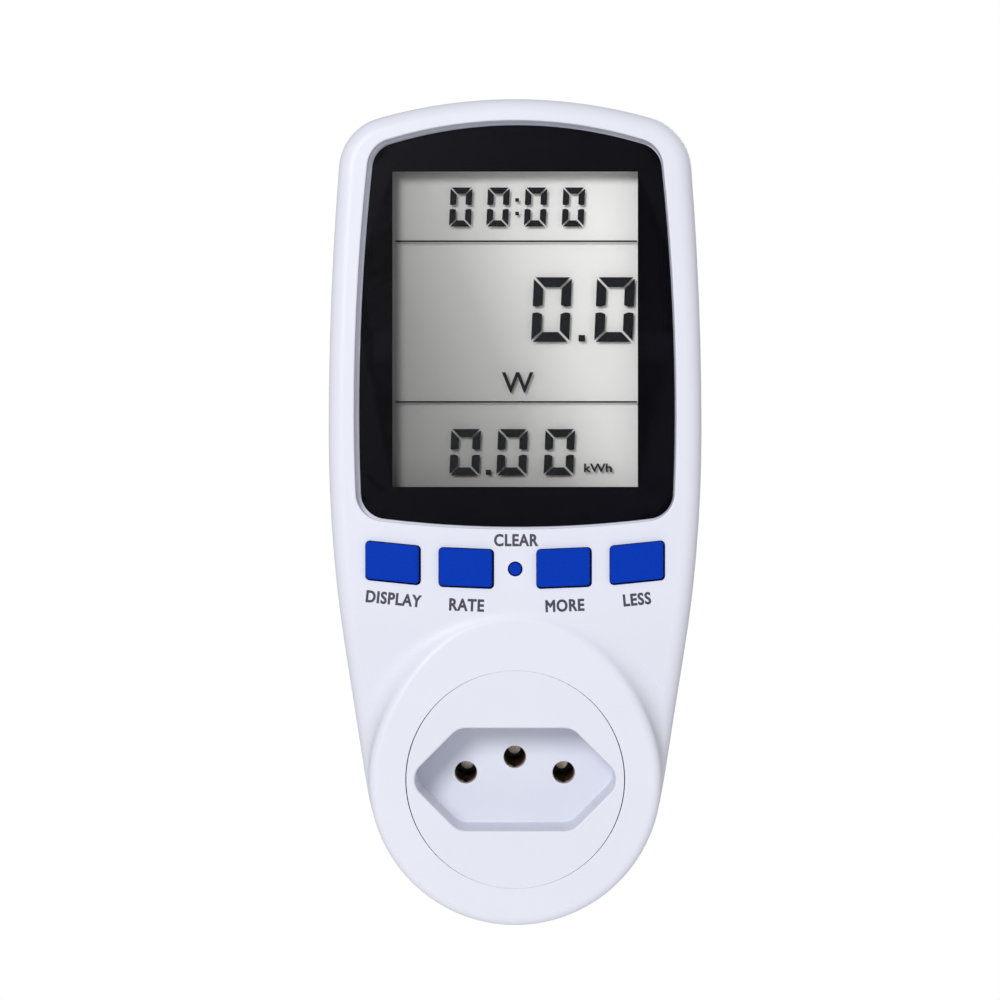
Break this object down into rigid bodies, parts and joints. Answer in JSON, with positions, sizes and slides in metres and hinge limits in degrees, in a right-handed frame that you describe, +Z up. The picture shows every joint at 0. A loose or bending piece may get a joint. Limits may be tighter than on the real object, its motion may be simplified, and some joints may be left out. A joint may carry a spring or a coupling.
{
  "type": "plug-in power meter",
  "caption": "Plug-in mains power meter: a tall white case with a large display window, a row of keys, a three-hole socket in a round collar below, and a three-pin plug behind.",
  "frame": {"origin": "centre of the plug's end face, midway between the line and neutral pins", "axes": "+X to the viewer's right, +Y into the wall along the pins, +Z up towards the display"},
  "size_m": [0.071, 0.074, 0.1576],
  "materials": {
    "white_case": "semi-gloss moulded, very fine grain",
    "blue_key": "fine moulded grain",
    "clear_window": "polished clear acrylic",
    "black_print": "printed black",
    "black_foam": "foam",
    "display_glass": "polished",
    "grey_reflector": "satin reflective film",
    "white_holder": "moulded",
    "pink_rubber": "matt silicone",
    "green_board": "solder mask",
    "black_epoxy": "matt epoxy",
    "black_switch": "moulded",
    "bright_steel": "zinc plated",
    "plain_brass": "plain",
    "nickel_brass": "nickel plated",
    "shunt_copper": "plain alloy strip",
    "yellow_box": "moulded box",
    "capacitor_sleeve": "shrink sleeve",
    "blue_coat": "dipped epoxy",
    "green_film": "shrink film"
  },
  "bodies": {
    "case": {"front_case": "white_case", "rear_case": "white_case", "socket_insert": "white_case", "plug_base": "white_case", "window_lens": "clear_window", "window_mask": "black_print", "window_tape": "black_foam", "lcd_gasket": "black_foam", "lcd_front_glass": "display_glass", "lcd_rear_glass": "display_glass", "lcd_reflector": "grey_reflector", "lcd_holder": "white_holder", "zebra_strip": "pink_rubber", "display_pcb": "green_board", "power_pcb": "green_board", "display_chip": "black_epoxy", "meter_chip": "black_epoxy", "board_link_block": "black_epoxy", "diodes": "black_epoxy", "crystal": "bright_steel", "case_screws": "bright_steel", "display_screws": "bright_steel", "insert_screws": "bright_steel", "plug_screws": "bright_steel", "power_screws": "bright_steel", "sleeve_clips": "bright_steel", "left_cell": "bright_steel", "middle_cell": "bright_steel", "right_cell": "bright_steel", "line_contact": "plain_brass", "neutral_contact": "plain_brass", "earth_contact": "plain_brass", "board_link_pins": "plain_brass", "shunt": "shunt_copper", "line_pin": "nickel_brass", "neutral_pin": "nickel_brass", "earth_pin": "nickel_brass", "contact_block": "white_holder", "x2_capacitor": "yellow_box", "smoothing_capacitor": "capacitor_sleeve", "varistor": "blue_coat", "battery_sleeve": "green_film", "battery_pad": "black_foam", "function_switch": "black_switch", "cost_switch": "black_switch", "up_switch": "black_switch", "down_switch": "black_switch", "reset_switch": "black_switch"},
    "function_button": {"function_key": "blue_key", "function_plunger": "black_switch"},
    "cost_button": {"cost_key": "blue_key", "cost_plunger": "black_switch"},
    "up_button": {"up_key": "blue_key", "up_plunger": "black_switch"},
    "down_button": {"down_key": "blue_key", "down_plunger": "black_switch"},
    "reset_button": {"reset_key": "blue_key", "reset_plunger": "black_switch"}
  },
  "joints": [
    {"name": "function_press", "type": "slide", "parent": "case", "child": "function_button", "axis": [0, 1, 0], "range_m": [0, 0.00035], "stiffness_N_per_m": 800},
    {"name": "cost_press", "type": "slide", "parent": "case", "child": "cost_button", "axis": [0, 1, 0], "range_m": [0, 0.00035], "stiffness_N_per_m": 800},
    {"name": "up_press", "type": "slide", "parent": "case", "child": "up_button", "axis": [0, 1, 0], "range_m": [0, 0.00035], "stiffness_N_per_m": 800},
    {"name": "down_press", "type": "slide", "parent": "case", "child": "down_button", "axis": [0, 1, 0], "range_m": [0, 0.00035], "stiffness_N_per_m": 800},
    {"name": "reset_press", "type": "slide", "parent": "case", "child": "reset_button", "axis": [0, 1, 0], "range_m": [0, 0.00035], "stiffness_N_per_m": 800}
  ]
}
